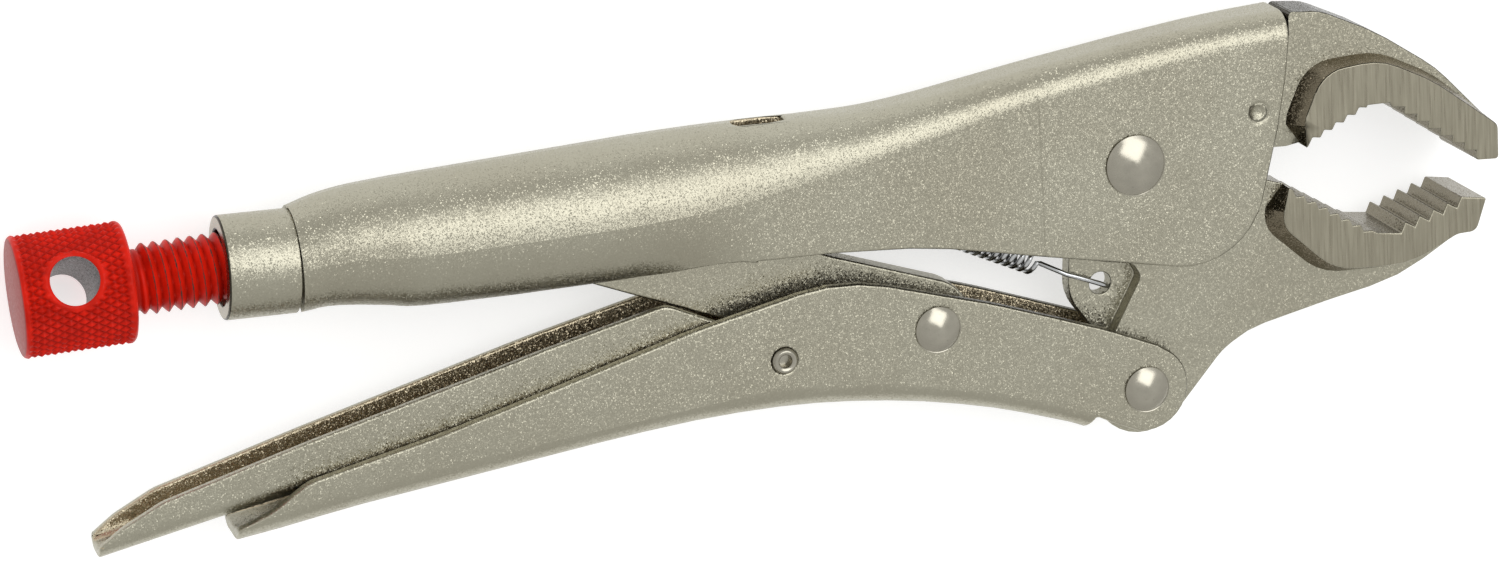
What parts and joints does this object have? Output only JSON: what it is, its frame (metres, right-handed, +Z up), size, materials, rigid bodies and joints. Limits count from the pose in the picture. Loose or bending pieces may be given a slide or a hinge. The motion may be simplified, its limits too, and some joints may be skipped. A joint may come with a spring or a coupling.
{
  "type": "locking pliers",
  "caption": "Curved jaw locking pliers with an over-centre toggle, a nested release lever and a red knurled adjusting screw.",
  "frame": {"origin": "on the bench, under the middle of the tool's bounding box, with the tool lying on one side", "axes": "+X along the tool from the adjusting knob to the jaw tips, +Y from the main lever towards the fixed handle, +Z up through the tool's width"},
  "size_m": [0.2412, 0.0668, 0.0223],
  "materials": {
    "nickel_sheet": "nickel plate over fine blasted sheet steel",
    "nickel_forging": "nickel plate over blasted forging, brushed gripping faces",
    "bright_rivet": "smooth bright plate",
    "zinc_wire": "bright zinc plated spring wire",
    "screw_steel": "plain turned steel",
    "red_enamel": "red enamel over knurled steel, rubbed on the thread crests"
  },
  "bodies": {
    "handle": {"handle_shell": "nickel_sheet", "threaded_neck": "nickel_sheet", "fixed_jaw": "nickel_forging", "jaw_pivot_rivet": "bright_rivet", "return_spring": "zinc_wire"},
    "jaw": {"movable_jaw": "nickel_forging"},
    "lever": {"main_lever": "nickel_sheet", "lever_pivot_rivet": "bright_rivet", "link_rivet": "bright_rivet", "release_pin": "bright_rivet"},
    "link": {"toggle_link": "nickel_forging"},
    "release": {"release_lever": "nickel_sheet"},
    "screw_slide": {"screw_nose": "screw_steel"},
    "screw_spin": {"thumb_screw": "red_enamel"}
  },
  "joints": [
    {"name": "jaw_hinge", "type": "hinge", "parent": "handle", "child": "jaw", "pos_m": [0.05746, 0.01228, 0.01116], "axis": [0, 0, 1], "range_deg": [-24, 0], "deforming": ["return_spring"]},
    {"name": "lever_hinge", "type": "hinge", "parent": "jaw", "child": "lever", "pos_m": [0.05796, -0.02542, 0.01116], "axis": [0, 0, 1], "range_deg": [0, 75]},
    {"name": "link_hinge", "type": "hinge", "parent": "lever", "child": "link", "pos_m": [0.02286, -0.00972, 0.01116], "axis": [0, 0, 1], "range_deg": [-80, 0]},
    {"name": "release_hinge", "type": "hinge", "parent": "lever", "child": "release", "pos_m": [-0.00284, -0.01082, 0.01116], "axis": [0, 0, 1], "range_deg": [-4, 1.2]},
    {"name": "screw_travel", "type": "slide", "parent": "handle", "child": "screw_slide", "axis": [1, 0, 0], "range_m": [-0.0188, 0]},
    {"name": "screw_turn", "type": "hinge", "parent": "screw_slide", "child": "screw_spin", "pos_m": [-0.08934, 0.01558, 0.01116], "axis": [1, 0, 0], "range_deg": [-3610, 0]}
  ],
  "couplings": [
    {"joint": "lever_hinge", "follows": "jaw_hinge", "ratio": -3.1},
    {"joint": "link_hinge", "follows": "jaw_hinge", "ratio": 3.3},
    {"joint": "screw_turn", "follows": "screw_travel", "rad_per_m": 3342.1}
  ]
}
